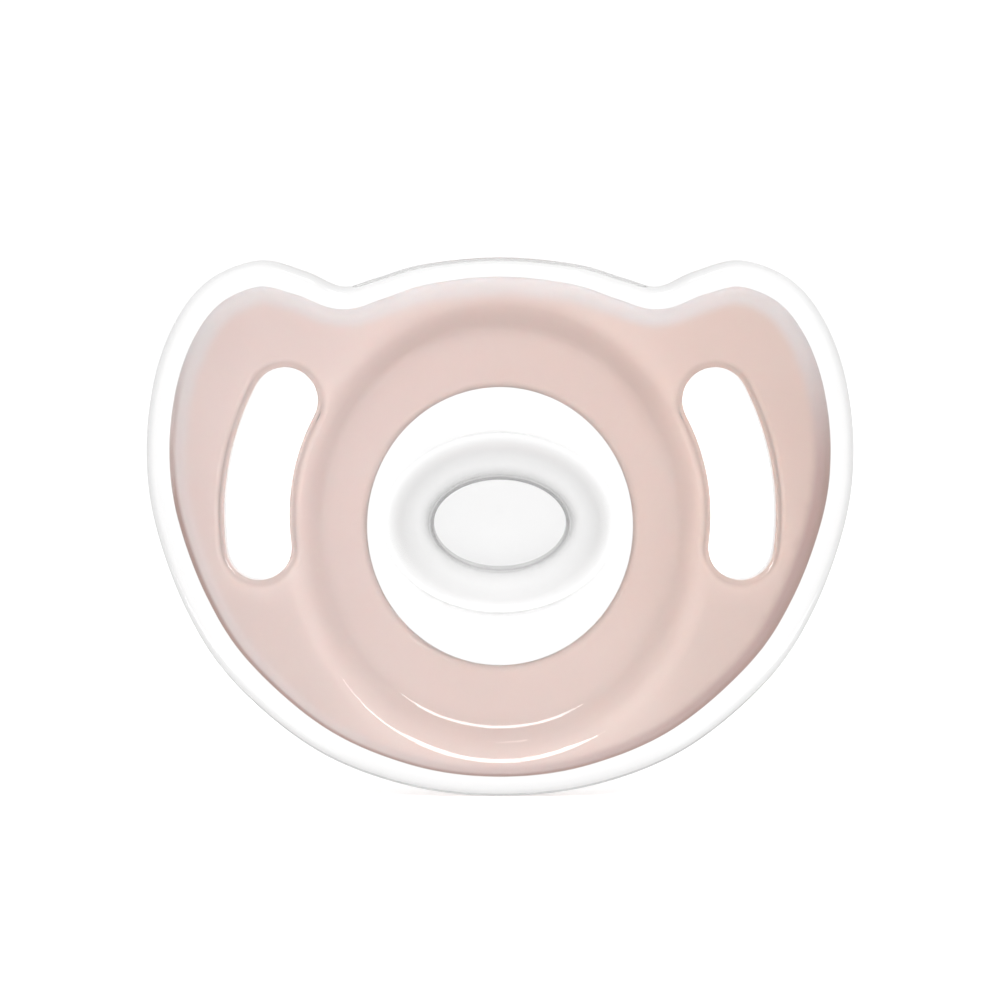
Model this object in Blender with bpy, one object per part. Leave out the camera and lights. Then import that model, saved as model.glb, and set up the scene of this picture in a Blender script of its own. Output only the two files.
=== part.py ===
"""A soft pacifier: a hollow silicone nipple whose shield is moulded round a stiff coloured plate.

Axes: X runs across the shield, Z up towards its two ears, and Y from the open front to the nipple's tip.
Shapes are drawn about the nipple's axis. The parent empty then stands the shield's lowest edge on Z = 0,
under the middle of the whole object.
"""

import math

import bmesh
import bpy
from mathutils.geometry import delaunay_2d_cdt

# Shield outline
SHIELD_WIDTH = 0.0520
SHIELD_HEIGHT = 0.0392
# Right half from bottom to top, as shares of the half width and the half height.
OUTLINE_SHAPE = (
    (0.000, -1.000),
    (0.263, -0.960),
    (0.522, -0.825),
    (0.752, -0.576),
    (0.885, -0.315),
    (0.974, 0.000),
    (1.000, 0.270),
    (0.978, 0.540),
    (0.916, 0.762),
    (0.818, 0.918),
    (0.675, 0.990),
    (0.545, 0.950),
    (0.441, 0.893),
    (0.350, 0.922),
    (0.215, 0.974),
    (0.000, 1.000),
)

# Layers of the shield, front to back
SKIN_THICKNESS = 0.0009
PLATE_THICKNESS = 0.0020
BACK_THICKNESS = 0.0012
LAYER_GAP = 0.00045
SIDE_GAP = 0.0003

# Shield form
MIDDLE_FLAT_WIDTH = 0.0160
WING_BEND_RADIUS = 0.0340
RIM_WIDTH_MIDDLE = 0.0014
RIM_WIDTH_SIDES = 0.0021
RIM_ROUNDING = 0.0012
FRONT_EDGE_DROP = 0.0006
BACK_EDGE_DROP = 0.0022
PLATE_EDGE_FLAT = 0.0002
HOLE_ROUNDING = 0.0004

# Opening of the plate and the front skin for the nipple's mouth
OPENING_WIDTH = 0.0194
OPENING_HEIGHT = 0.0203

# Dish round the opening: its floor and wall as seen above the opening, and its width over its height
DISH_DEPTH = 0.0016
DISH_FLOOR_BREADTH = 0.00405
DISH_WALL_BREADTH = 0.0030
DISH_OVALITY = 0.90

# Vents: slots bent round the nipple
VENT_WIDTH = 0.0050
VENT_TO_SHIELD_EDGE = 0.0058
VENT_CENTRE_RISE = 0.0009
VENT_LOW_ANGLE = math.radians(-7.7)
VENT_HIGH_ANGLE = math.radians(28.0)
VENT_PLATE_CLEARANCE = 0.0001

# Nipple
NIPPLE_LENGTH = 0.0260
NIPPLE_WALL = 0.0014
NECK_WIDTH = 0.0126
NECK_HEIGHT = 0.0094
NECK_START = 0.0030
NECK_END = 0.0060
ROOT_FLARE = 0.0022
BULB_WIDTH = 0.0162
BULB_HEIGHT = 0.0120
BULB_TIP_LENGTH = 0.0090
TIP_LIFT = 0.0005

# Nipple's mouth: a bell from the shield's front into the throat, with a shallow recess in its outer part
MOUTH_WIDTH = 0.0170
MOUTH_HEIGHT = 0.0131
MOUTH_LIFT = 0.0003
RECESS_DEPTH = 0.0008
BELL_DEPTH = 0.0090
# Share of the way in from the mouth's edge to the throat.
RECESS_END = 0.58

# Mesh density
OUTLINE_POINTS = 80
OVAL_POINTS = 50
VENT_ARC_POINTS = 8
VENT_END_POINTS = 6
DISH_RINGS = 3
WING_SPACING = 0.0042
ROUNDING_STEPS = 3
BULB_STEPS = 5
SWELL_STEPS = 6
FLARE_STEPS = 5
MOUTH_STEPS = 8
CURVE_STEPS = 24
SMOOTH_ANGLE = math.radians(35.0)
POINT_TOLERANCE = 1e-9

# Worked out from the sizes above
HALF_WIDTH = SHIELD_WIDTH / 2
HALF_HEIGHT = SHIELD_HEIGHT / 2
PLATE_FRONT = SKIN_THICKNESS + LAYER_GAP
PLATE_BACK = PLATE_FRONT + PLATE_THICKNESS
POCKET_FLOOR = PLATE_BACK + LAYER_GAP
SHIELD_BACK = POCKET_FLOOR + BACK_THICKNESS
RIM_TOP = SKIN_THICKNESS + LAYER_GAP
NIPPLE_ROOT = DISH_DEPTH + SHIELD_BACK
TOTAL_DEPTH = NIPPLE_ROOT + NIPPLE_LENGTH
PLATE_EDGE_ROUNDING = (PLATE_THICKNESS - PLATE_EDGE_FLAT) / 2
DISH_FLOOR_HEIGHT = OPENING_HEIGHT + 2 * DISH_FLOOR_BREADTH
DISH_EDGE_HEIGHT = DISH_FLOOR_HEIGHT + 2 * DISH_WALL_BREADTH
FILLER_WIDTH = OPENING_WIDTH - 2 * SIDE_GAP
FILLER_HEIGHT = OPENING_HEIGHT - 2 * SIDE_GAP
VENT_ARC_RADIUS = HALF_WIDTH - VENT_TO_SHIELD_EDGE - VENT_WIDTH / 2
SQUARE_EDGE = [(0.0, 0.0)]


# Plane outlines: lists of (x, z) points that run anticlockwise


def between(a, b, share):
    return tuple(p + (q - p) * share for p, q in zip(a, b))


def eased(share):
    """Goes from 0 to 1 as share does, with a level start and end."""
    share = min(max(share, 0.0), 1.0)
    return share * share * (3 - 2 * share)


def curve_point(before, start, end, after, share):
    """A point on the Catmull-Rom curve from start to end."""
    point = []
    for a, b, c, d in zip(before, start, end, after):
        slope = c - a
        bend = 2 * a - 5 * b + 4 * c - d
        twist = 3 * b - a - 3 * c + d
        point.append(b + share * (slope + share * (bend + share * twist)) / 2)
    return tuple(point)


def evenly_spaced(points, count):
    """Count points at equal distances along a closed line, the first half a distance from its start."""
    closed = points + points[:1]
    lengths = [math.dist(a, b) for a, b in zip(closed, closed[1:])]
    step = sum(lengths) / count
    spaced = []
    travelled = 0.0
    for start, end, length in zip(closed, closed[1:], lengths):
        while len(spaced) < count and (len(spaced) + 0.5) * step < travelled + length:
            share = ((len(spaced) + 0.5) * step - travelled) / length
            spaced.append(between(start, end, share))
        travelled += length
    return spaced


def shield_outline():
    right = [(x * HALF_WIDTH, z * HALF_HEIGHT) for x, z in OUTLINE_SHAPE]
    left = [(-x, z) for x, z in right[-2:0:-1]]
    corners = right + left
    curve = []
    for index, start in enumerate(corners):
        before = corners[index - 1]
        end = corners[(index + 1) % len(corners)]
        after = corners[(index + 2) % len(corners)]
        for step in range(CURVE_STEPS):
            curve.append(curve_point(before, start, end, after, step / CURVE_STEPS))
    return evenly_spaced(curve, OUTLINE_POINTS)


def oval(width, height, lift=0.0):
    turns = [math.tau * index / OVAL_POINTS for index in range(OVAL_POINTS)]
    return [(math.cos(turn) * width / 2, math.sin(turn) * height / 2 + lift) for turn in turns]


def arc(centre, radius, start, end, steps):
    angles = [start + (end - start) * step / steps for step in range(steps + 1)]
    return [(centre[0] + math.cos(a) * radius, centre[1] + math.sin(a) * radius) for a in angles]


def vent_outline(side):
    """A slot of even width along an arc round the nipple, on the right (1) or the left (-1)."""
    half = VENT_WIDTH / 2
    centre = (0.0, VENT_CENTRE_RISE)
    low, high = VENT_LOW_ANGLE, VENT_HIGH_ANGLE
    low_end, top_end = arc(centre, VENT_ARC_RADIUS, low, high, 1)
    outer = arc(centre, VENT_ARC_RADIUS + half, low, high, VENT_ARC_POINTS)
    inner = arc(centre, VENT_ARC_RADIUS - half, high, low, VENT_ARC_POINTS)
    over = arc(top_end, half, high, high + math.pi, VENT_END_POINTS)[1:-1]
    under = arc(low_end, half, low + math.pi, low + math.tau, VENT_END_POINTS)[1:-1]
    right = outer + over + inner + under
    if side > 0:
        return right
    return [(-x, z) for x, z in reversed(right)]


def grown(loop, distance):
    """The loop with each point moved outwards, at right angles to the line through its neighbours."""
    moved = []
    for index, (x, z) in enumerate(loop):
        before = loop[index - 1]
        after = loop[(index + 1) % len(loop)]
        run = (after[0] - before[0], after[1] - before[1])
        length = math.hypot(*run)
        moved.append((x + run[1] / length * distance, z - run[0] / length * distance))
    return moved


def plate_outline():
    """The shield's outline, inset by the rim, which is wider at the sides than in the middle."""
    outline = shield_outline()
    narrow = grown(outline, -RIM_WIDTH_MIDDLE)
    wide = grown(outline, -RIM_WIDTH_SIDES)
    inset = []
    for (x, _), a, b in zip(outline, narrow, wide):
        inset.append(between(a, b, eased(abs(x) / HALF_WIDTH)))
    return inset


def inside(point, loop):
    crossings = 0
    for (x1, z1), (x2, z2) in zip(loop, loop[1:] + loop[:1]):
        if (z1 > point[1]) != (z2 > point[1]):
            crossings += point[0] < x1 + (point[1] - z1) / (z2 - z1) * (x2 - x1)
    return crossings % 2 == 1


# The shield's front surface


def wing_sag(x):
    """How far the wings sweep back, past the straight middle."""
    reach = min(max(abs(x) - MIDDLE_FLAT_WIDTH / 2, 0.0), WING_BEND_RADIUS)
    return WING_BEND_RADIUS - math.sqrt(WING_BEND_RADIUS**2 - reach**2)


def front(x, z):
    """Y of the shield's front: a flat-floored dish in the middle, and wings that sweep back."""
    height = 2 * math.hypot(x / DISH_OVALITY, z)
    climbed = eased((height - DISH_FLOOR_HEIGHT) / (DISH_EDGE_HEIGHT - DISH_FLOOR_HEIGHT))
    return DISH_DEPTH + (wing_sag(x) - DISH_DEPTH) * climbed


# Mesh building


def ring_on_front(bm, loop, depth):
    """Vertices on a loop, at a depth behind the shield's front surface."""
    return [bm.verts.new((x, front(x, z) + depth, z)) for x, z in loop]


def flat_ring(bm, loop, y):
    return [bm.verts.new((x, y, z)) for x, z in loop]


def bridge(bm, rings):
    for ring, following in zip(rings, rings[1:]):
        for index in range(len(ring)):
            after = (index + 1) % len(ring)
            bm.faces.new((ring[index], ring[after], following[after], following[index]))


def close(bm, ring, y, lift):
    """A fan of faces from a ring to a pole on the nipple's axis."""
    pole = bm.verts.new((0.0, y, lift))
    for index in range(len(ring)):
        bm.faces.new((ring[index], ring[(index + 1) % len(ring)], pole))


def dish_rings():
    rings = []
    for step in range(DISH_RINGS + 1):
        height = DISH_FLOOR_HEIGHT + (DISH_EDGE_HEIGHT - DISH_FLOOR_HEIGHT) * step / DISH_RINGS
        rings.append(oval(height * DISH_OVALITY, height))
    return rings


def wing_points():
    """A grid over the shield, outside the dish."""
    columns = int(HALF_WIDTH / WING_SPACING)
    rows = int(HALF_HEIGHT / WING_SPACING)
    edge = dish_rings()[-1]
    points = []
    for column in range(-columns, columns + 1):
        for row in range(-rows, rows + 1):
            point = (column * WING_SPACING, row * WING_SPACING)
            if not inside(point, grown(edge, WING_SPACING / 2)):
                points.append(point)
    return points


def fill_between(bm, outer, holes, depth):
    """Triangles on the shield's surface, between an outer ring of vertices and its holes."""
    rings = [outer] + holes
    verts = [vert for ring in rings for vert in ring]
    loops = [[(vert.co.x, vert.co.z) for vert in ring] for ring in rings]
    room = WING_SPACING / 4
    edge = grown(loops[0], -room)
    kept_out = [grown(loop, room) for loop in loops[1:]]
    extra = [point for ring in dish_rings() for point in ring] + wing_points()
    for x, z in extra:
        if inside((x, z), edge) and not any(inside((x, z), hole) for hole in kept_out):
            verts.append(bm.verts.new((x, front(x, z) + depth, z)))
    edges = []
    first = 0
    for ring in rings:
        edges += [(first + i, first + (i + 1) % len(ring)) for i in range(len(ring))]
        first += len(ring)
    places = [(vert.co.x, vert.co.z) for vert in verts]
    found = delaunay_2d_cdt(places, edges, [], 0, POINT_TOLERANCE)
    sources = [verts[source[0]] for source in found[3]]
    for face in found[2]:
        corners = [sources[index] for index in face]
        middle = (sum(v.co.x for v in corners) / 3, sum(v.co.z for v in corners) / 3)
        if inside(middle, loops[0]) and not any(inside(middle, hole) for hole in loops[1:]):
            bm.faces.new(corners)


def quarter_round(width, depth, steps=ROUNDING_STEPS):
    """Pairs of inset and drop round a quarter of an ellipse, from the face to the side."""
    pairs = []
    for step in range(steps + 1):
        angle = math.pi / 2 * step / steps
        pairs.append((width * (1 - math.sin(angle)), depth * (1 - math.cos(angle))))
    return pairs


def round_side(bm, loop, outward, front_depth, back_depth, front_round, back_round):
    """Rings down a side wall, front to back, with both edges rounded; outward is -1 at a hole."""
    rings = []
    for inset, drop in front_round:
        rings.append(ring_on_front(bm, grown(loop, -outward * inset), front_depth + drop))
    for inset, drop in reversed(back_round):
        rings.append(ring_on_front(bm, grown(loop, -outward * inset), back_depth - drop))
    return rings


def add_sheet(bm, sides, front_depth, back_depth):
    """A sheet that follows the shield's front, closed by its side walls; the outer side comes first."""
    for rings in sides:
        bridge(bm, rings)
    fill_between(bm, sides[0][0], [rings[0] for rings in sides[1:]], front_depth)
    fill_between(bm, sides[0][-1], [rings[-1] for rings in sides[1:]], back_depth)


def add_material(name, colour, roughness, transmission):
    material = bpy.data.materials.new(name)
    material.use_nodes = True
    shader = material.node_tree.nodes["Principled BSDF"]
    shader.inputs["Base Color"].default_value = (*colour, 1.0)
    shader.inputs["Roughness"].default_value = roughness
    shader.inputs["Metallic"].default_value = 0.0
    shader.inputs["Transmission Weight"].default_value = transmission
    return material


def add_piece(name, bm, material, parent):
    bmesh.ops.recalc_face_normals(bm, faces=bm.faces)
    mesh = bpy.data.meshes.new(name)
    bm.to_mesh(mesh)
    bm.free()
    mesh.shade_smooth()
    mesh.set_sharp_from_angle(angle=SMOOTH_ANGLE)
    mesh.materials.append(material)
    piece = bpy.data.objects.new(name, mesh)
    piece.parent = parent
    bpy.context.collection.objects.link(piece)
    return piece


# Nipple


def nipple_stations(shrink, length):
    """Width, height and distance from the root of each ring from the neck to near the tip.

    Shrink is taken off all round, and length is the distance from the root to the tip.
    """
    neck = (NECK_WIDTH - 2 * shrink, NECK_HEIGHT - 2 * shrink)
    bulb = (BULB_WIDTH - 2 * shrink, BULB_HEIGHT - 2 * shrink)
    widest = NIPPLE_LENGTH - BULB_TIP_LENGTH
    stations = []
    for step in range(SWELL_STEPS + 1):
        share = step / SWELL_STEPS
        swell = (1 - math.cos(math.pi * share)) / 2
        stations.append((*between(neck, bulb, swell), NECK_END + (widest - NECK_END) * share))
    for step in range(1, BULB_STEPS):
        angle = math.pi / 2 * step / BULB_STEPS
        size = math.cos(angle)
        stations.append((bulb[0] * size, bulb[1] * size, widest + (length - widest) * math.sin(angle)))
    return stations


def nipple_rings(bm, stations, length):
    """Rings of vertices at the stations. The tip lifts a little, more and more along the nipple."""
    rings = []
    for width, height, distance in stations:
        lift = TIP_LIFT * (distance / length) ** 2
        rings.append(flat_ring(bm, oval(width, height, lift), NIPPLE_ROOT + distance))
    return rings


def flare_stations(wide, narrow, start, end):
    """Stations of a mouth that curves from its wide size at start to its narrow size at end."""
    stations = []
    for share_left, share_along in quarter_round(1.0, 1.0, FLARE_STEPS):
        size = between(narrow, wide, share_left)
        stations.append((*size, start + (end - start) * share_along))
    return stations


def add_nipple_outside(bm):
    """Root, neck, bulb and tip. Returns the ring where the root meets the shield's back."""
    root = (NECK_WIDTH + 2 * ROOT_FLARE, NECK_HEIGHT + 2 * ROOT_FLARE)
    stations = flare_stations(root, (NECK_WIDTH, NECK_HEIGHT), 0.0, NECK_START)
    stations += nipple_stations(0.0, NIPPLE_LENGTH)
    rings = nipple_rings(bm, stations, NIPPLE_LENGTH)
    bridge(bm, rings)
    close(bm, rings[-1], NIPPLE_ROOT + NIPPLE_LENGTH, TIP_LIFT)
    return rings[0]


def mouth_rings(bm, throat):
    """Rings of vertices from the mouth's edge to the throat. The mouth is a little higher than the throat."""
    rings = []
    for step in range(MOUTH_STEPS + 1):
        share = math.sin(math.pi / 2 * step / MOUTH_STEPS)
        size = between((MOUTH_WIDTH, MOUTH_HEIGHT), throat, share)
        depth = RECESS_DEPTH * eased(share / RECESS_END) + BELL_DEPTH * (1 - math.sqrt(1 - share * share))
        lift = MOUTH_LIFT * (1 - eased(share))
        rings.append(flat_ring(bm, oval(*size, lift), DISH_DEPTH + depth))
    return rings


def add_nipple_inside(bm, filler):
    """The hollow: mouth, throat and bulb, from the top of the wall that fills the opening."""
    length = NIPPLE_LENGTH - NIPPLE_WALL
    throat = (NECK_WIDTH - 2 * NIPPLE_WALL, NECK_HEIGHT - 2 * NIPPLE_WALL)
    rings = mouth_rings(bm, throat) + nipple_rings(bm, nipple_stations(NIPPLE_WALL, length), length)
    bridge(bm, [filler] + rings)
    close(bm, rings[-1], NIPPLE_ROOT + length, TIP_LIFT)


# Pieces


def vent_outlines(clearance):
    return [grown(vent_outline(side), clearance) for side in (1, -1)]


def make_nipple_body(parent):
    """Clear silicone: the nipple, the shield's mouth side, and the rim that holds the plate."""
    bm = bmesh.new()
    outline = shield_outline()
    pocket = grown(plate_outline(), SIDE_GAP)
    rim = [
        ring_on_front(bm, pocket, POCKET_FLOOR),
        ring_on_front(bm, pocket, RIM_TOP),
        ring_on_front(bm, outline, RIM_TOP),
    ]
    for inset, drop in reversed(quarter_round(RIM_ROUNDING, BACK_EDGE_DROP)):
        rim.append(ring_on_front(bm, grown(outline, -inset), SHIELD_BACK - drop))
    bridge(bm, rim)
    edge = quarter_round(HOLE_ROUNDING, HOLE_ROUNDING)
    vents = []
    for vent in vent_outlines(0.0):
        vents.append(round_side(bm, vent, -1, POCKET_FLOOR, SHIELD_BACK, SQUARE_EDGE, edge))
        bridge(bm, vents[-1])
    fit = oval(FILLER_WIDTH, FILLER_HEIGHT)
    filler = [ring_on_front(bm, fit, POCKET_FLOOR), ring_on_front(bm, fit, 0.0)]
    bridge(bm, filler)
    add_nipple_inside(bm, filler[-1])
    root = add_nipple_outside(bm)
    fill_between(bm, rim[0], [vents[0][0], vents[1][0], filler[0]], POCKET_FLOOR)
    fill_between(bm, rim[-1], [vents[0][-1], vents[1][-1], root], SHIELD_BACK)
    material = add_material("clear_silicone", (0.93, 0.93, 0.92), 0.12, 0.9)
    add_piece("nipple_body", bm, material, parent)


def make_stiffener_plate(parent):
    """Translucent pink plastic, held in the pocket between the two silicone pieces."""
    bm = bmesh.new()
    outline = plate_outline()
    full = quarter_round(PLATE_EDGE_ROUNDING, PLATE_EDGE_ROUNDING)
    edge = quarter_round(HOLE_ROUNDING, HOLE_ROUNDING)
    sides = [round_side(bm, outline, 1, PLATE_FRONT, PLATE_BACK, full, full)]
    for hole in vent_outlines(VENT_PLATE_CLEARANCE) + [oval(OPENING_WIDTH, OPENING_HEIGHT)]:
        sides.append(round_side(bm, hole, -1, PLATE_FRONT, PLATE_BACK, edge, edge))
    add_sheet(bm, sides, PLATE_FRONT, PLATE_BACK)
    material = add_material("pink_plastic", (0.80, 0.60, 0.55), 0.30, 0.3)
    add_piece("stiffener_plate", bm, material, parent)


def make_front_skin(parent):
    """Clear silicone over the plate's front. Its edges meet the body at the rim and the mouth."""
    bm = bmesh.new()
    rim_edge = quarter_round(RIM_ROUNDING, FRONT_EDGE_DROP)
    vent_edge = quarter_round(HOLE_ROUNDING, HOLE_ROUNDING)
    opening = oval(OPENING_WIDTH, OPENING_HEIGHT)
    sides = [round_side(bm, shield_outline(), 1, 0.0, SKIN_THICKNESS, rim_edge, SQUARE_EDGE)]
    for vent in vent_outlines(0.0):
        sides.append(round_side(bm, vent, -1, 0.0, SKIN_THICKNESS, vent_edge, SQUARE_EDGE))
    sides.append(round_side(bm, opening, -1, 0.0, SKIN_THICKNESS, SQUARE_EDGE, SQUARE_EDGE))
    add_sheet(bm, sides, 0.0, SKIN_THICKNESS)
    material = add_material("clear_silicone_skin", (0.95, 0.94, 0.93), 0.10, 0.9)
    add_piece("front_skin", bm, material, parent)


def main():
    for item in list(bpy.data.objects):
        bpy.data.objects.remove(item, do_unlink=True)
    pacifier = bpy.data.objects.new("pacifier", None)
    pacifier.location = (0.0, -TOTAL_DEPTH / 2, HALF_HEIGHT)
    bpy.context.collection.objects.link(pacifier)
    make_nipple_body(pacifier)
    make_stiffener_plate(pacifier)
    make_front_skin(pacifier)


main()
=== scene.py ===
"""The looks of a soft pacifier: a clear silicone moulding round a translucent pink plate.

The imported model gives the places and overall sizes. Shapes are drawn about the nipple's axis, as
(x, z) outlines and depths behind the shield's front, and `placed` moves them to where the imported
model is.
"""

import math

import bmesh
import bpy
import numpy as np
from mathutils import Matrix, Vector
from mathutils.geometry import delaunay_2d_cdt


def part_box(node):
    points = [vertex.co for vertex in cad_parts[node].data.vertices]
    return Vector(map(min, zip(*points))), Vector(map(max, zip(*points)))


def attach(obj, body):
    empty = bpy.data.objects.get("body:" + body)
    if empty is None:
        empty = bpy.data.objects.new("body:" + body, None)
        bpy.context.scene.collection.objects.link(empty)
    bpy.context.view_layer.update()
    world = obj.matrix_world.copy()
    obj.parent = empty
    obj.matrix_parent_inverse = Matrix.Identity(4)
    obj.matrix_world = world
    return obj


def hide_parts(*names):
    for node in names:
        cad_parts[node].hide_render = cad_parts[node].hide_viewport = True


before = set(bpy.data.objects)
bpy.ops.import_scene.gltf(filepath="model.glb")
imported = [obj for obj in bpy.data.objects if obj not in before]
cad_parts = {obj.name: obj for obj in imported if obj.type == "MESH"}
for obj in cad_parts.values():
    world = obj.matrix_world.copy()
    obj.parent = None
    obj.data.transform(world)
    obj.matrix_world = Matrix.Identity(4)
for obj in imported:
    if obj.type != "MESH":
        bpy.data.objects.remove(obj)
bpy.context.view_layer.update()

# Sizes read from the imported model
SKIN_LOW, SKIN_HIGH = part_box("front_skin")
PLATE_LOW, PLATE_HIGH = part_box("stiffener_plate")
BODY_LOW, BODY_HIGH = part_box("nipple_body")
HALF_WIDTH = (SKIN_HIGH.x - SKIN_LOW.x) / 2
HALF_HEIGHT = (SKIN_HIGH.z - SKIN_LOW.z) / 2
AXIS_HEIGHT = (SKIN_HIGH.z + SKIN_LOW.z) / 2
FRONT_Y = SKIN_LOW.y
RIM_WIDTH_MIDDLE = PLATE_LOW.z - SKIN_LOW.z
RIM_WIDTH_SIDES = PLATE_LOW.x - SKIN_LOW.x
PLATE_FRONT = PLATE_LOW.y - SKIN_LOW.y

# Sizes that repeat the design, in metres
OUTLINE_SHAPE = (
    (0.000, -1.000),
    (0.263, -0.960),
    (0.522, -0.825),
    (0.752, -0.576),
    (0.885, -0.315),
    (0.974, 0.000),
    (1.000, 0.270),
    (0.978, 0.540),
    (0.916, 0.762),
    (0.818, 0.918),
    (0.675, 0.990),
    (0.545, 0.950),
    (0.441, 0.893),
    (0.350, 0.922),
    (0.215, 0.974),
    (0.000, 1.000),
)
SHIELD_THICKNESS = 0.0050
PLATE_THICKNESS = 0.0020
MIDDLE_FLAT_WIDTH = 0.0160
WING_BEND_RADIUS = 0.0340
OPENING = (0.0194, 0.0203)
DISH_DEPTH = 0.0016
DISH_FLOOR_BREADTH = 0.00405
DISH_WALL_BREADTH = 0.0030
DISH_OVALITY = 0.90
VENT_WIDTH = 0.0050
VENT_TO_SHIELD_EDGE = 0.0058
VENT_CENTRE_RISE = 0.0009
VENT_LOW_ANGLE = math.radians(-7.7)
VENT_HIGH_ANGLE = math.radians(28.0)
NIPPLE_WALL = 0.0014
NECK = (0.0126, 0.0094)
NECK_START = 0.0030
NECK_END = 0.0060
ROOT_FLARE = 0.0022
BULB = (0.0162, 0.0120)
BULB_TIP_LENGTH = 0.0090
TIP_LIFT = 0.0005
MOUTH = (0.0170, 0.0131)
MOUTH_LIFT = 0.0003
RECESS_DEPTH = 0.0010
RECESS_SHARE = 0.74
BELL_DEPTH = 0.0090
BELL_END = 0.90
MATTE_BORDER = (0.0186, 0.0156)
PIP = (0.0006, 0.0006)
PIP_HEIGHT = 0.00035

# Finish of the mouldings
RIM_FRONT_ROUND = (0.0013, 0.0015)
RIM_BACK_ROUND = (0.0014, 0.0026)
PLATE_EDGE_ROUND = 0.00095
PLATE_HOLE_ROUND = 0.00050
VENT_EDGE_ROUND = 0.00035
VENT_LINING = 0.00020
# Width of the plate's border band, wider on top: paler where the plate thins, with painted light on
# top and painted shade below
PALE_BAND = (0.0012, 0.0020)

# Mesh density
OUTLINE_POINTS = 360
OVAL_POINTS = 192
VENT_ARC_POINTS = 28
VENT_END_POINTS = 18
SURFACE_SPACING = 0.00065
ROUND_STEPS = 8
SWELL_STEPS = 22
TIP_STEPS = 18
FLARE_STEPS = 20
MOUTH_STEPS = 48
CURVE_STEPS = 40
POINT_TOLERANCE = 1e-9
FACE_TOLERANCE = 1e-6
PROBE = 1e-5
MATTE = 1

NIPPLE_ROOT = DISH_DEPTH + SHIELD_THICKNESS
NIPPLE_LENGTH = BODY_HIGH.y - FRONT_Y - NIPPLE_ROOT - PIP_HEIGHT
PLATE_BACK = PLATE_FRONT + PLATE_THICKNESS
DISH_FLOOR_HEIGHT = OPENING[1] + 2 * DISH_FLOOR_BREADTH
DISH_EDGE_HEIGHT = DISH_FLOOR_HEIGHT + 2 * DISH_WALL_BREADTH
VENT_ARC_RADIUS = HALF_WIDTH - VENT_TO_SHIELD_EDGE - VENT_WIDTH / 2


# Plane outlines: lists of (x, z) points that run anticlockwise


def between(a, b, share):
    return tuple(p + (q - p) * share for p, q in zip(a, b))


def eased(share):
    """Goes from 0 to 1 as share does, with a level start and end."""
    share = min(max(share, 0.0), 1.0)
    return share * share * (3 - 2 * share)


def curve_point(before, start, end, after, share):
    """A point on the Catmull-Rom curve from start to end."""
    point = []
    for a, b, c, d in zip(before, start, end, after):
        slope = c - a
        bend = 2 * a - 5 * b + 4 * c - d
        twist = 3 * b - a - 3 * c + d
        point.append(b + share * (slope + share * (bend + share * twist)) / 2)
    return tuple(point)


def evenly_spaced(points, count):
    """Count points at equal distances along a closed line, from its first point on."""
    closed = points + points[:1]
    lengths = [math.dist(a, b) for a, b in zip(closed, closed[1:])]
    step = sum(lengths) / count
    spaced = []
    travelled = 0.0
    for start, end, length in zip(closed, closed[1:], lengths):
        while len(spaced) < count and len(spaced) * step < travelled + length:
            share = (len(spaced) * step - travelled) / length
            spaced.append(between(start, end, share))
        travelled += length
    return spaced


def shield_outline():
    right = [(x * HALF_WIDTH, z * HALF_HEIGHT) for x, z in OUTLINE_SHAPE]
    left = [(-x, z) for x, z in right[-2:0:-1]]
    corners = right + left
    curve = []
    for index, start in enumerate(corners):
        before = corners[index - 1]
        end = corners[(index + 1) % len(corners)]
        after = corners[(index + 2) % len(corners)]
        for step in range(CURVE_STEPS):
            curve.append(curve_point(before, start, end, after, step / CURVE_STEPS))
    return evenly_spaced(curve, OUTLINE_POINTS)


def oval(width, height, lift=0.0):
    turns = [math.tau * index / OVAL_POINTS for index in range(OVAL_POINTS)]
    return [(math.cos(turn) * width / 2, math.sin(turn) * height / 2 + lift) for turn in turns]


def arc(centre, radius, start, end, steps):
    angles = [start + (end - start) * step / steps for step in range(steps + 1)]
    return [(centre[0] + math.cos(a) * radius, centre[1] + math.sin(a) * radius) for a in angles]


def vent_outline(side):
    """A slot of even width along an arc round the nipple, on the right (1) or the left (-1)."""
    half = VENT_WIDTH / 2
    centre = (0.0, VENT_CENTRE_RISE)
    low, high = VENT_LOW_ANGLE, VENT_HIGH_ANGLE
    low_end, top_end = arc(centre, VENT_ARC_RADIUS, low, high, 1)
    outer = arc(centre, VENT_ARC_RADIUS + half, low, high, VENT_ARC_POINTS)
    inner = arc(centre, VENT_ARC_RADIUS - half, high, low, VENT_ARC_POINTS)
    over = arc(top_end, half, high, high + math.pi, VENT_END_POINTS)[1:-1]
    under = arc(low_end, half, low + math.pi, low + math.tau, VENT_END_POINTS)[1:-1]
    right = outer + over + inner + under
    if side > 0:
        return right
    return [(-x, z) for x, z in reversed(right)]


def grown(loop, distance):
    """The loop with each point moved out, at right angles to the line through its neighbours."""
    moved = []
    for index, (x, z) in enumerate(loop):
        before = loop[index - 1]
        after = loop[(index + 1) % len(loop)]
        run = (after[0] - before[0], after[1] - before[1])
        length = math.hypot(*run)
        moved.append((x + run[1] / length * distance, z - run[0] / length * distance))
    return moved


def plate_outline():
    """The shield's outline, inset by the rim, which is wider at the sides than in the middle."""
    outline = shield_outline()
    narrow = grown(outline, -RIM_WIDTH_MIDDLE)
    wide = grown(outline, -RIM_WIDTH_SIDES)
    inset = []
    for (x, _), a, b in zip(outline, narrow, wide):
        inset.append(between(a, b, eased(abs(x) / HALF_WIDTH)))
    return inset


def inside(points, loop):
    """For each row of an array of points, whether it is inside the loop."""
    held = np.zeros(len(points), bool)
    for (x1, z1), (x2, z2) in zip(loop, loop[1:] + loop[:1]):
        if z1 == z2:
            continue
        crosses = (z1 > points[:, 1]) != (z2 > points[:, 1])
        held ^= crosses & (points[:, 0] < x1 + (points[:, 1] - z1) / (z2 - z1) * (x2 - x1))
    return held


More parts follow.
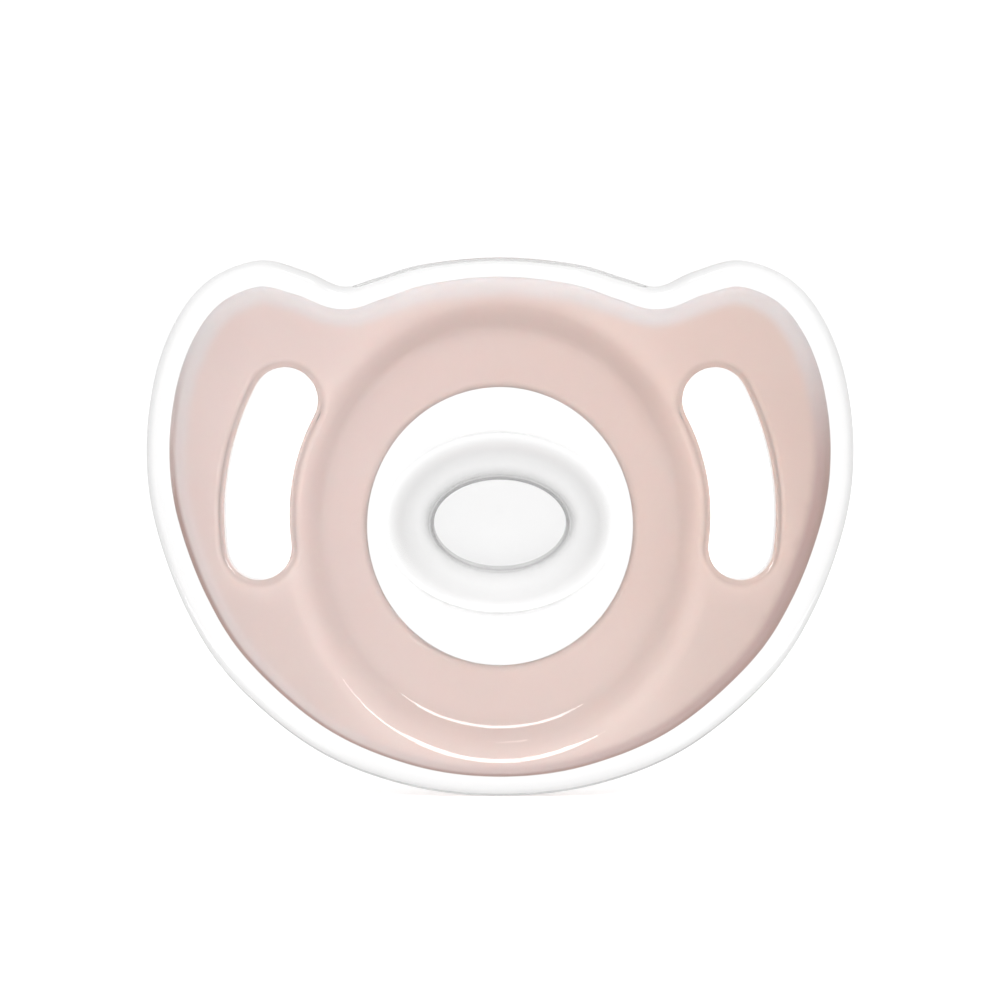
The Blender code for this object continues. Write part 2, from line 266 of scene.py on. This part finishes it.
# The shield's front surface


def wing_sag(x):
    """How far the wings sweep back, past the straight middle."""
    reach = min(max(abs(x) - MIDDLE_FLAT_WIDTH / 2, 0.0), WING_BEND_RADIUS)
    return WING_BEND_RADIUS - math.sqrt(WING_BEND_RADIUS**2 - reach**2)


def front(x, z):
    """Depth of the shield's front: a flat-floored dish in the middle, and wings that sweep back."""
    height = 2 * math.hypot(x / DISH_OVALITY, z)
    climbed = eased((height - DISH_FLOOR_HEIGHT) / (DISH_EDGE_HEIGHT - DISH_FLOOR_HEIGHT))
    return DISH_DEPTH + (wing_sag(x) - DISH_DEPTH) * climbed


# Mesh building


def placed(x, depth, z):
    return (x, FRONT_Y + depth, AXIS_HEIGHT + z)


def ring_on_front(bm, loop, depth):
    """Vertices on a loop, at a depth behind the shield's front surface."""
    return [bm.verts.new(placed(x, front(x, z) + depth, z)) for x, z in loop]


def flat_ring(bm, loop, depth):
    return [bm.verts.new(placed(x, depth, z)) for x, z in loop]


def bridge(bm, rings):
    for ring, following in zip(rings, rings[1:]):
        for index in range(len(ring)):
            after = (index + 1) % len(ring)
            bm.faces.new((ring[index], ring[after], following[after], following[index]))


def close(bm, ring, depth, lift):
    """A fan of faces from a ring to a pole on the nipple's axis."""
    pole = bm.verts.new(placed(0.0, depth, lift))
    for index in range(len(ring)):
        bm.faces.new((ring[index], ring[(index + 1) % len(ring)], pole))


def surface_points():
    """Points over the whole shield, on ovals round the nipple's axis, an even distance apart."""
    reach = math.hypot(HALF_WIDTH / DISH_OVALITY, HALF_HEIGHT)
    points = []
    for ring in range(1, int(reach / SURFACE_SPACING) + 1):
        radius = ring * SURFACE_SPACING
        count = max(8, round(math.tau * radius / SURFACE_SPACING))
        start = 0.5 * (ring % 2)
        for index in range(count):
            turn = math.tau * (index + start) / count
            points.append((math.cos(turn) * radius * DISH_OVALITY, math.sin(turn) * radius))
    return np.array(points)


def fill_between(bm, outer, holes, depth):
    """Triangles on the shield's surface, between an outer ring of vertices and its holes."""
    rings = [outer] + holes
    loops = [[(vert.co.x, vert.co.z - AXIS_HEIGHT) for vert in ring] for ring in rings]
    room = SURFACE_SPACING * 0.6
    extra = surface_points()
    extra = extra[inside(extra, grown(loops[0], -room))]
    for loop in loops[1:]:
        extra = extra[~inside(extra, grown(loop, room))]
    verts = [vert for ring in rings for vert in ring]
    verts += [bm.verts.new(placed(x, front(x, z) + depth, z)) for x, z in extra]
    edges = []
    first = 0
    for ring in rings:
        edges += [(first + i, first + (i + 1) % len(ring)) for i in range(len(ring))]
        first += len(ring)
    places = [(vert.co.x, vert.co.z - AXIS_HEIGHT) for vert in verts]
    found = delaunay_2d_cdt(places, edges, [], 0, POINT_TOLERANCE)
    spots = np.array([tuple(spot) for spot in found[0]])
    middles = spots[np.array(found[2])].mean(axis=1)
    wanted = inside(middles, loops[0])
    for loop in loops[1:]:
        wanted &= ~inside(middles, loop)
    for face, kept in zip(found[2], wanted):
        if kept:
            bm.faces.new([verts[found[3][index][0]] for index in face])


def quarter_round(width, depth, steps=ROUND_STEPS):
    """Pairs of inset and drop round a quarter of an ellipse, from the face to the side."""
    pairs = []
    for step in range(steps + 1):
        angle = math.pi / 2 * step / steps
        pairs.append((width * (1 - math.sin(angle)), depth * (1 - math.cos(angle))))
    return pairs


def round_side(bm, loop, outward, depths, front_round, back_round):
    """Bridged rings down a side wall, with both edges rounded. Outward is -1 at a hole."""
    rings = []
    for inset, drop in front_round:
        rings.append(ring_on_front(bm, grown(loop, -outward * inset), depths[0] + drop))
    for inset, drop in reversed(back_round):
        rings.append(ring_on_front(bm, grown(loop, -outward * inset), depths[1] - drop))
    bridge(bm, rings)
    return rings


def flare_stations(wide, narrow, start, end):
    """Stations of a mouth that curves from its wide size at start to its narrow size at end."""
    stations = []
    for share_left, share_along in quarter_round(1.0, 1.0, FLARE_STEPS):
        stations.append((*between(narrow, wide, share_left), start + (end - start) * share_along))
    return stations


def mouth_stations(throat):
    """Stations of the mouth: a shallow recess, and a bell that runs on into the throat."""
    stations = []
    for step in range(MOUTH_STEPS + 1):
        share = math.sin(math.pi / 2 * step / MOUTH_STEPS)
        bell = 1 - math.sqrt(1 - (share * BELL_END) ** 2)
        depth = RECESS_DEPTH * eased(share / RECESS_SHARE) + BELL_DEPTH * bell
        stations.append((*between(MOUTH, throat, share), depth - SHIELD_THICKNESS))
    return stations


def mouth_rings(bm, stations):
    """Rings of vertices at the mouth's stations. The mouth is a little higher than the throat."""
    rings = []
    for index, (width, height, distance) in enumerate(stations):
        lift = MOUTH_LIFT * (1 - eased(index / (len(stations) - 1)))
        rings.append(flat_ring(bm, oval(width, height, lift), NIPPLE_ROOT + distance))
    return rings


def nipple_stations(shrink, length):
    """Width, height and distance from the root of each ring from the neck to near the tip."""
    neck = (NECK[0] - 2 * shrink, NECK[1] - 2 * shrink)
    bulb = (BULB[0] - 2 * shrink, BULB[1] - 2 * shrink)
    widest = NIPPLE_LENGTH - BULB_TIP_LENGTH
    stations = []
    for step in range(SWELL_STEPS + 1):
        share = step / SWELL_STEPS
        swell = (1 - math.cos(math.pi * share)) / 2
        stations.append((*between(neck, bulb, swell), NECK_END + (widest - NECK_END) * share))
    for step in range(1, TIP_STEPS):
        angle = math.pi / 2 * step / TIP_STEPS
        size = math.cos(angle)
        distance = widest + (length - widest) * math.sin(angle)
        stations.append((bulb[0] * size, bulb[1] * size, distance))
    return stations


def nipple_rings(bm, stations, length):
    """Rings of vertices at the stations. The tip lifts a little, more and more along the nipple."""
    rings = []
    for width, height, distance in stations:
        lift = TIP_LIFT * (distance / length) ** 2
        rings.append(flat_ring(bm, oval(width, height, lift), NIPPLE_ROOT + distance))
    return rings


def add_nipple(bm):
    """Both walls of the nipple. It is added first, so that it alone is matte.

    Returns the rings round its mouth and its root.
    """
    outer_root = (NECK[0] + 2 * ROOT_FLARE, NECK[1] + 2 * ROOT_FLARE)
    outside = flare_stations(outer_root, NECK, 0.0, NECK_START)
    outside += nipple_stations(0.0, NIPPLE_LENGTH)
    throat = (NECK[0] - 2 * NIPPLE_WALL, NECK[1] - 2 * NIPPLE_WALL)
    depth = NIPPLE_LENGTH - NIPPLE_WALL
    bore = [flat_ring(bm, oval(*MATTE_BORDER, MOUTH_LIFT / 2), DISH_DEPTH)]
    bore += mouth_rings(bm, mouth_stations(throat))
    bore += nipple_rings(bm, nipple_stations(NIPPLE_WALL, depth), depth)
    bridge(bm, bore)
    close(bm, bore[-1], NIPPLE_ROOT + depth, TIP_LIFT)
    skin = nipple_rings(bm, outside, NIPPLE_LENGTH)
    skin += [flat_ring(bm, oval(*PIP, TIP_LIFT), NIPPLE_ROOT + NIPPLE_LENGTH)]
    bridge(bm, skin)
    close(bm, skin[-1], NIPPLE_ROOT + NIPPLE_LENGTH + PIP_HEIGHT, TIP_LIFT)
    for face in bm.faces:
        face.material_index = MATTE
    return bore[0], skin[0]


def set_face_normals(mesh, depths):
    """Gives the vertices on the front and back faces, at these depths, the surface's normals."""
    normals = [normal.vector.copy() for normal in mesh.vertex_normals]
    for vert in mesh.vertices:
        x, depth, z = vert.co.x, vert.co.y - FRONT_Y, vert.co.z - AXIS_HEIGHT
        level = front(x, z)
        for side, surface in zip((1, -1), depths):
            if abs(depth - level - surface) < FACE_TOLERANCE:
                across = (front(x + PROBE, z) - level) / PROBE
                upward = (front(x, z + PROBE) - level) / PROBE
                normals[vert.index] = (Vector((across, -1.0, upward)) * side).normalized()
    mesh.normals_split_custom_set_from_vertices(normals)


def made_object(name, bm, *materials):
    bmesh.ops.recalc_face_normals(bm, faces=bm.faces)
    mesh = bpy.data.meshes.new(name)
    bm.to_mesh(mesh)
    bm.free()
    mesh.shade_smooth()
    for material in materials:
        mesh.materials.append(material)
    piece = bpy.data.objects.new(name, mesh)
    bpy.context.scene.collection.objects.link(piece)
    return piece


# Materials

SILICONE_IOR = 1.41
SILICONE_COLOUR = (0.98, 0.98, 0.98, 1.0)
SILICONE_TINT = (0.90, 0.89, 0.89, 1.0)
SILICONE_TINT_DENSITY = 30.0
SILICONE_GRAIN_SCALE = 900.0
SILICONE_RIPPLE_SCALE = 350.0
SILICONE_RIPPLE_HEIGHT = 0.00005

# Range of roughness, strength of the ripple, and clearness
GLOSSY_FINISH = ((0.03, 0.07), 0.08, 0.94)
MATTE_FINISH = ((0.20, 0.26), 0.05, 0.93)

# Body and surface of the plate
PLATE_IOR = 1.10
PLATE_ROUGHNESS = (0.25, 0.40)
PLATE_GRAIN_SCALE = 700.0
PLATE_SCATTERING = 0.3
PLATE_SCATTER_REACH = (1.0, 0.6, 0.5)
PLATE_SCATTER_LENGTH = 0.0012

# Tones of the plate, with painted light and shade in them: pairs run from its left to its right,
# and the wings' pair from its bottom up
# Painted shade in the pink pairs: darker and warmer to the right, most of all above
UPPER_PINK_SIDE_SHADED = ((0.72, 0.57, 0.535, 1.0), (0.69, 0.515, 0.45, 1.0))
LOWER_PINK_SIDE_SHADED = ((0.71, 0.57, 0.53, 1.0), (0.705, 0.555, 0.495, 1.0))
# Border tones: paler where the plate thins at its edge, with painted light on top and painted shade
# below, darkest at the lower right
LOW_BORDER_THIN_AND_SHADED = ((0.72, 0.62, 0.60, 1.0), (0.48, 0.325, 0.295, 1.0))
TOP_BORDER_THIN_AND_LIT = (0.70, 0.64, 0.63, 1.0)
# The plate's very edge: a line of painted shade below and of painted light on top
LOW_EDGE_PAINTED_SHADE = (0.46, 0.30, 0.26, 1.0)
TOP_EDGE_PAINTED_LIGHT = (0.72, 0.66, 0.66, 1.0)
# Painted shade on the wings, which turn away from the light: darker towards the bottom
WING_PAINTED_SHADE = ((0.87, 0.86, 0.85, 1.0), (0.96, 0.955, 0.95, 1.0))
CLOUD_PINK = (0.82, 0.70, 0.66, 1.0)
CLOUD_STRENGTH = 0.3
CLOUD_SCALE = 90.0
CLOUD_DETAIL = 2.0

# Where the tones change, as shares of half the shield's width or height from its middle
WING_FROM, WING_FULL = 0.3, 0.6
UPPER_FULL = 0.3
TOP_FROM, TOP_FULL = 0.1, 0.8

# Where the border and the contour start, as nearness to the plate's edge
BORDER_FROM, BORDER_FULL = 0.10, 0.60
CONTOUR_FROM, CONTOUR_FULL = 0.72, 0.92


def new_material(name):
    material = bpy.data.materials.new(name)
    material.use_nodes = True
    tree = material.node_tree
    return material, tree, tree.nodes["Principled BSDF"]


def noise(tree, scale, detail=3.0):
    coordinates = tree.nodes.new("ShaderNodeTexCoord")
    texture = tree.nodes.new("ShaderNodeTexNoise")
    texture.inputs["Scale"].default_value = scale
    texture.inputs["Detail"].default_value = detail
    tree.links.new(coordinates.outputs["Object"], texture.inputs["Vector"])
    return texture.outputs["Fac"]


def remapped(tree, value, low, high):
    """Spreads a 0 to 1 value over low to high."""
    node = tree.nodes.new("ShaderNodeMapRange")
    node.inputs["To Min"].default_value = low
    node.inputs["To Max"].default_value = high
    tree.links.new(value, node.inputs["Value"])
    return node.outputs["Result"]


def add_bump(tree, shader, height, strength, distance):
    bump = tree.nodes.new("ShaderNodeBump")
    bump.inputs["Strength"].default_value = strength
    bump.inputs["Distance"].default_value = distance
    tree.links.new(height, bump.inputs["Height"])
    tree.links.new(bump.outputs["Normal"], shader.inputs["Normal"])


def silicone_material(name, roughness, ripple, clearness):
    """Liquid silicone rubber, with faint softening; what isn't clear of it is milky."""
    material, tree, shader = new_material(name)
    shader.inputs["Base Color"].default_value = SILICONE_COLOUR
    shader.inputs["Transmission Weight"].default_value = clearness
    shader.inputs["IOR"].default_value = SILICONE_IOR
    grain = remapped(tree, noise(tree, SILICONE_GRAIN_SCALE), *roughness)
    tree.links.new(grain, shader.inputs["Roughness"])
    ripples = noise(tree, SILICONE_RIPPLE_SCALE)
    add_bump(tree, shader, ripples, ripple, SILICONE_RIPPLE_HEIGHT)
    absorption = tree.nodes.new("ShaderNodeVolumeAbsorption")
    absorption.inputs["Color"].default_value = SILICONE_TINT
    absorption.inputs["Density"].default_value = SILICONE_TINT_DENSITY
    output = tree.nodes["Material Output"]
    tree.links.new(absorption.outputs["Volume"], output.inputs["Volume"])
    return material


def blended(tree, share, first, second, blend="MIX"):
    """Mixes two colours, each a colour socket or four numbers."""
    node = tree.nodes.new("ShaderNodeMix")
    node.data_type = "RGBA"
    node.blend_type = blend
    tree.links.new(share, node.inputs["Factor"])
    for name, colour in (("A", first), ("B", second)):
        socket = next(s for s in node.inputs if s.name == name and s.type == "RGBA")
        if isinstance(colour, tuple):
            socket.default_value = colour
        else:
            tree.links.new(colour, socket)
    return next(s for s in node.outputs if s.type == "RGBA")


def stepped(tree, value, low, high):
    """0 below low, 1 above high, and smooth between."""
    node = tree.nodes.new("ShaderNodeMapRange")
    node.interpolation_type = "SMOOTHSTEP"
    node.inputs["From Min"].default_value = low
    node.inputs["From Max"].default_value = high
    tree.links.new(value, node.inputs["Value"])
    return node.outputs["Result"]


def plate_material():
    """Translucent pink plastic, with painted shade: darker and warmer to the right, and on the
    wings darker towards the bottom.

    Its border is paler where the plate thins, with painted light on top and painted shade below,
    most of all on the right. The plate lies inside the silicone, so its own surface bends light
    only a little.
    """
    material, tree, shader = new_material("pink_plastic")
    edge = tree.nodes.new("ShaderNodeAttribute")
    edge.attribute_name = "thinness"
    coordinates = tree.nodes.new("ShaderNodeTexCoord")
    split = tree.nodes.new("ShaderNodeSeparateXYZ")
    tree.links.new(coordinates.outputs["Object"], split.inputs["Vector"])
    side, upright, nearness = split.outputs["X"], split.outputs["Z"], edge.outputs["Fac"]

    def risen(low, high):
        """Smooth from 0 to 1 between two heights, as shares of half the shield's height."""
        heights = [AXIS_HEIGHT + HALF_HEIGHT * share for share in (low, high)]
        return stepped(tree, upright, *heights)

    across = stepped(tree, side, -HALF_WIDTH, HALF_WIDTH)
    # Painted shade: the pink darkens and warms towards the right
    upper = blended(tree, across, *UPPER_PINK_SIDE_SHADED)
    lower = blended(tree, across, *LOWER_PINK_SIDE_SHADED)
    height = risen(-1.0, UPPER_FULL)
    pink = blended(tree, height, lower, upper)
    outward = tree.nodes.new("ShaderNodeMath")
    outward.operation = "ABSOLUTE"
    tree.links.new(side, outward.inputs[0])
    wings = stepped(tree, outward.outputs["Value"], HALF_WIDTH * WING_FROM, HALF_WIDTH * WING_FULL)
    # Painted shade on the wings, darker towards the bottom
    pink = blended(tree, wings, pink, blended(tree, height, *WING_PAINTED_SHADE), "MULTIPLY")
    clouds = remapped(tree, noise(tree, CLOUD_SCALE, CLOUD_DETAIL), 0.0, CLOUD_STRENGTH)
    cloudy = blended(tree, clouds, pink, CLOUD_PINK)
    top = risen(TOP_FROM, TOP_FULL)
    # Border: paler where the plate thins, with painted light on top and painted shade below
    border = blended(tree, top, blended(tree, across, *LOW_BORDER_THIN_AND_SHADED), TOP_BORDER_THIN_AND_LIT)
    bordered = blended(tree, stepped(tree, nearness, BORDER_FROM, BORDER_FULL), cloudy, border)
    # At the very edge: painted shade below, painted light on top
    contour = blended(tree, top, LOW_EDGE_PAINTED_SHADE, TOP_EDGE_PAINTED_LIGHT)
    at_edge = stepped(tree, nearness, CONTOUR_FROM, CONTOUR_FULL)
    tree.links.new(blended(tree, at_edge, bordered, contour), shader.inputs["Base Color"])
    shader.inputs["Subsurface Weight"].default_value = PLATE_SCATTERING
    shader.inputs["Subsurface Radius"].default_value = PLATE_SCATTER_REACH
    shader.inputs["Subsurface Scale"].default_value = PLATE_SCATTER_LENGTH
    shader.inputs["IOR"].default_value = PLATE_IOR
    grain = remapped(tree, noise(tree, PLATE_GRAIN_SCALE), *PLATE_ROUGHNESS)
    tree.links.new(grain, shader.inputs["Roughness"])
    return material


# Pieces


def make_silicone():
    """One moulding: the matte hollow nipple, and the shield's front, rim, vents and back."""
    bm = bmesh.new()
    mouth, root = add_nipple(bm)
    rim = round_side(
        bm,
        shield_outline(),
        1,
        (0.0, SHIELD_THICKNESS),
        quarter_round(*RIM_FRONT_ROUND),
        quarter_round(*RIM_BACK_ROUND),
    )
    edge = quarter_round(VENT_EDGE_ROUND, VENT_EDGE_ROUND)
    vents = []
    for side in (1, -1):
        hole = grown(vent_outline(side), -VENT_LINING / 2)
        vents.append(round_side(bm, hole, -1, (0.0, SHIELD_THICKNESS), edge, edge))
    fill_between(bm, rim[0], [vents[0][0], vents[1][0], mouth], 0.0)
    fill_between(bm, rim[-1], [vents[0][-1], vents[1][-1], root], SHIELD_THICKNESS)
    glossy = silicone_material("clear_silicone", *GLOSSY_FINISH)
    matte = silicone_material("matte_silicone", *MATTE_FINISH)
    piece = made_object("silicone_moulding", bm, glossy, matte)
    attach(piece, "root")
    set_face_normals(piece.data, (0.0, SHIELD_THICKNESS))
    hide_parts("nipple_body", "front_skin")


def make_plate():
    bm = bmesh.new()
    depths = (PLATE_FRONT, PLATE_BACK)
    full = quarter_round(PLATE_EDGE_ROUND, PLATE_EDGE_ROUND)
    edge = quarter_round(PLATE_HOLE_ROUND, PLATE_HOLE_ROUND)
    sides = [round_side(bm, plate_outline(), 1, depths, full, full)]
    for side in (1, -1):
        hole = grown(vent_outline(side), VENT_LINING / 2)
        sides.append(round_side(bm, hole, -1, depths, edge, edge))
    sides.append(round_side(bm, oval(*OPENING), -1, depths, edge, edge))
    fill_between(bm, sides[0][0], [rings[0] for rings in sides[1:]], PLATE_FRONT)
    fill_between(bm, sides[0][-1], [rings[-1] for rings in sides[1:]], PLATE_BACK)
    piece = made_object("pink_plate", bm, plate_material())
    set_face_normals(piece.data, depths)
    add_thinness(piece.data)
    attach(piece, "root")
    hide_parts("stiffener_plate")


def add_thinness(mesh):
    """Stores how near each vertex is to the plate's edge, 1 to 0 over a band wider on top."""
    edge = np.array(plate_outline())
    co = np.zeros(len(mesh.vertices) * 3)
    mesh.vertices.foreach_get("co", co)
    spots = co.reshape(-1, 3)[:, (0, 2)] - (0.0, AXIS_HEIGHT)
    nearest = np.array([np.hypot(*(edge - spot).T).min() for spot in spots])
    height = (spots[:, 1] / HALF_HEIGHT + 1) / 2
    band = PALE_BAND[0] + (PALE_BAND[1] - PALE_BAND[0]) * height
    values = 1 - np.clip(nearest / band, 0, 1)
    attribute = mesh.attributes.new("thinness", "FLOAT", "POINT")
    attribute.data.foreach_set("value", values.astype(np.float32))


# Stage


SENSOR_WIDTH = 36.0
CAMERA_DISTANCE = 0.45
FRAMED_WIDTH = 0.0724
FRAME_RISE = 0.0020
CAMERA_ELEVATION = math.radians(1.5)
WHITE = (1.0, 1.0, 1.0, 1.0)
FLOOR_REACH = 4.0
FLOOR_COLOUR = (0.80, 0.80, 0.80, 1.0)
FLOOR_ROUGHNESS = 0.9
FLOOR_GLOW = (0.10, 0.55)
LEVELS_FRONT_TO_BACK = (
    (-1.0, 1.50),
    (-0.6, 1.15),
    (0.0, 0.72),
    (0.6, 0.60),
    (0.88, 0.80),
    (0.96, 0.98),
    (0.985, 1.08),
)
LEVELS_DOWN_TO_UP = ((-0.9, 1.4), (-0.2, 1.0), (0.0, 1.0), (0.2, 1.0), (0.9, 1.1))
LAMP_DISTANCE = 0.8

# Name, azimuth, elevation, size and radiance of each softbox
LAMPS = (
    ("front strip", 2, 26, (0.42, 0.20), 17.0),
    ("left strip", -62, 5, (0.10, 0.35), 2.5),
    ("overhead", 5, 76, (0.30, 0.12), 4.0),
)


def make_camera():
    data = bpy.data.cameras.new("camera")
    data.sensor_width = SENSOR_WIDTH
    data.lens = SENSOR_WIDTH * CAMERA_DISTANCE / FRAMED_WIDTH
    camera = bpy.data.objects.new("camera", data)
    bpy.context.scene.collection.objects.link(camera)
    target = Vector((0.0, FRONT_Y, AXIS_HEIGHT + FRAME_RISE))
    away = Vector((0.0, -math.cos(CAMERA_ELEVATION), math.sin(CAMERA_ELEVATION)))
    camera.location = target + away * CAMERA_DISTANCE
    camera.rotation_mode = "QUATERNION"
    camera.rotation_quaternion = (-away).to_track_quat("-Z", "Y")
    bpy.context.scene.camera = camera


def seen_directly(tree):
    """1 for what the camera sees directly, 0 for what lights the pacifier or shows in it."""
    return tree.nodes.new("ShaderNodeLightPath").outputs["Is Camera Ray"]


def make_floor():
    """A pale floor that reads as white paper. It neither lights the pacifier nor shows in it."""
    bm = bmesh.new()
    bmesh.ops.create_grid(bm, x_segments=8, y_segments=8, size=FLOOR_REACH)
    material, tree, shader = new_material("floor")
    shader.inputs["Base Color"].default_value = FLOOR_COLOUR
    shader.inputs["Roughness"].default_value = FLOOR_ROUGHNESS
    shader.inputs["Emission Color"].default_value = WHITE
    glow = remapped(tree, seen_directly(tree), *FLOOR_GLOW)
    tree.links.new(glow, shader.inputs["Emission Strength"])
    floor = made_object("floor", bm, material)
    floor.location.z = SKIN_LOW.z
    floor.visible_diffuse = False
    floor.visible_glossy = False
    floor.visible_transmission = False


def make_lamp(name, azimuth, elevation, size, radiance):
    """A softbox aimed at the pacifier. Azimuth 0 is behind the camera, and turns towards +X."""
    turn, rise = math.radians(azimuth), math.radians(elevation)
    level = Vector((math.sin(turn), -math.cos(turn), 0.0))
    away = level * math.cos(rise) + Vector((0.0, 0.0, math.sin(rise)))
    data = bpy.data.lights.new(name, "AREA")
    data.shape = "RECTANGLE"
    data.size, data.size_y = size
    data.energy = radiance * math.pi * size[0] * size[1]
    lamp = bpy.data.objects.new(name, data)
    lamp.location = Vector((0.0, 0.0, AXIS_HEIGHT)) + away * LAMP_DISTANCE
    lamp.rotation_mode = "QUATERNION"
    lamp.rotation_quaternion = (-away).to_track_quat("-Z", "Y")
    bpy.context.scene.collection.objects.link(lamp)


def level_along(tree, value, stops):
    """A brightness that follows stops of (direction's part along an axis, level)."""
    spread = tree.nodes.new("ShaderNodeMapRange")
    spread.inputs["From Min"].default_value = -1.0
    tree.links.new(value, spread.inputs["Value"])
    ramp = tree.nodes.new("ShaderNodeValToRGB")
    elements = ramp.color_ramp.elements
    while len(elements) < len(stops):
        elements.new(0.5)
    for element, (place, level) in zip(elements, stops):
        element.position = (place + 1) / 2
        element.color = (level, level, level, 1.0)
    tree.links.new(spread.outputs["Result"], ramp.inputs["Fac"])
    return ramp.outputs["Color"]


def joined(tree, operation, first, second):
    node = tree.nodes.new("ShaderNodeMath")
    node.operation = operation
    tree.links.new(first, node.inputs[0])
    tree.links.new(second, node.inputs[1])
    return node.outputs["Value"]


def make_world():
    """A studio lit brightest behind the camera, and dimmest past the pacifier's sides.

    It looks plain white to the camera itself.
    """
    world = bpy.data.worlds.new("studio")
    bpy.context.scene.world = world
    world.use_nodes = True
    tree = world.node_tree
    coordinates = tree.nodes.new("ShaderNodeTexCoord")
    split = tree.nodes.new("ShaderNodeSeparateXYZ")
    tree.links.new(coordinates.outputs["Generated"], split.inputs["Vector"])
    along = level_along(tree, split.outputs["Y"], LEVELS_FRONT_TO_BACK)
    upright = level_along(tree, split.outputs["Z"], LEVELS_DOWN_TO_UP)
    light = joined(tree, "MULTIPLY", along, upright)
    shown = joined(tree, "MAXIMUM", light, seen_directly(tree))
    background = tree.nodes["Background"]
    background.inputs["Color"].default_value = WHITE
    tree.links.new(shown, background.inputs["Strength"])


make_camera()
make_silicone()
make_plate()
make_world()
make_floor()
for settings in LAMPS:
    make_lamp(*settings)
bpy.context.scene.view_settings.view_transform = "Standard"
